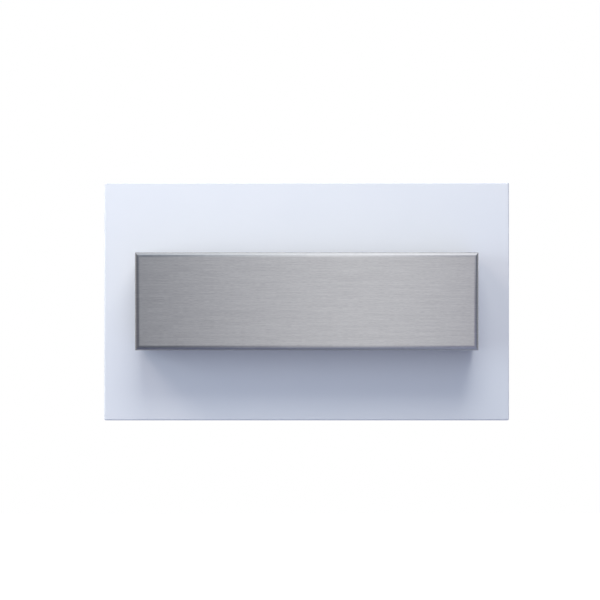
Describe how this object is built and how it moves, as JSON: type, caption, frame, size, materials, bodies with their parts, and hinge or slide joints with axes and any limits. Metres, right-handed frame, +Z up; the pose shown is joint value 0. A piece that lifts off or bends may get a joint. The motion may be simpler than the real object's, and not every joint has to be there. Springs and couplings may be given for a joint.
{
  "type": "letter plate",
  "caption": "Letter plate with a white face plate, a lift-up stainless box flap over the slot, a telescoping slot liner and a sprung inner flap on the room side.",
  "frame": {"origin": "centre of the pattern of four fixing pillars, on the street face of the leaf, where the gasket beds", "axes": "+X to the right seen from the street, +Y through the leaf to the room, +Z up"},
  "size_m": [0.34, 0.0967, 0.2],
  "materials": {
    "white_powder_coat": "gloss powder coat on aluminium",
    "brushed_stainless": "brushed along the length",
    "stainless_sheet": "plain mill finish",
    "stainless_fixings": "turned, bright",
    "zinc_plated_steel": "zinc plated",
    "spring_wire": "drawn stainless wire",
    "black_abs": "fine moulded texture",
    "foam_rubber": "closed-cell foam",
    "pad_rubber": "matt",
    "nylon": "natural nylon"
  },
  "bodies": {
    "front": {"front_plate": "white_powder_coat", "plate_gasket": "foam_rubber", "fixing_pillars": "zinc_plated_steel", "slot_liner": "black_abs", "liner_screws": "stainless_fixings", "left_hinge_ear": "stainless_sheet", "right_hinge_ear": "stainless_sheet", "ear_screws": "stainless_fixings", "left_pivot_bush": "nylon", "right_pivot_bush": "nylon", "flap_pads": "pad_rubber", "left_closing_spring": "spring_wire", "right_closing_spring": "spring_wire"},
    "flap": {"outer_flap": "brushed_stainless", "left_pivot_plate": "stainless_sheet", "right_pivot_plate": "stainless_sheet", "left_pivot_screw": "stainless_fixings", "right_pivot_screw": "stainless_fixings"},
    "inner": {"rear_sleeve": "black_abs", "inner_frame": "white_powder_coat", "inner_seal": "foam_rubber", "fixing_bolts": "zinc_plated_steel", "inner_hinge_rod": "stainless_fixings", "rod_clips": "stainless_fixings", "left_inner_spring": "spring_wire", "right_inner_spring": "spring_wire"},
    "room_flap": {"inner_flap": "brushed_stainless"}
  },
  "joints": [
    {"name": "outer_flap_hinge", "type": "hinge", "parent": "front", "child": "flap", "pos_m": [0, -0.022, 0.033], "axis": [-1, 0, 0], "range_deg": [0, 75], "stiffness_Nm_per_rad": 0.2, "springref_deg": -20.05, "deforming": ["left_closing_spring", "right_closing_spring"]},
    {"name": "door_thickness_slide", "type": "slide", "parent": "front", "child": "inner", "axis": [0, 1, 0], "range_m": [-0.004, 0.006]},
    {"name": "inner_flap_hinge", "type": "hinge", "parent": "inner", "child": "room_flap", "pos_m": [0, 0.05355, 0.031], "axis": [1, 0, 0], "range_deg": [0, 85], "stiffness_Nm_per_rad": 0.18, "springref_deg": -28.65, "deforming": ["left_inner_spring", "right_inner_spring"]}
  ]
}
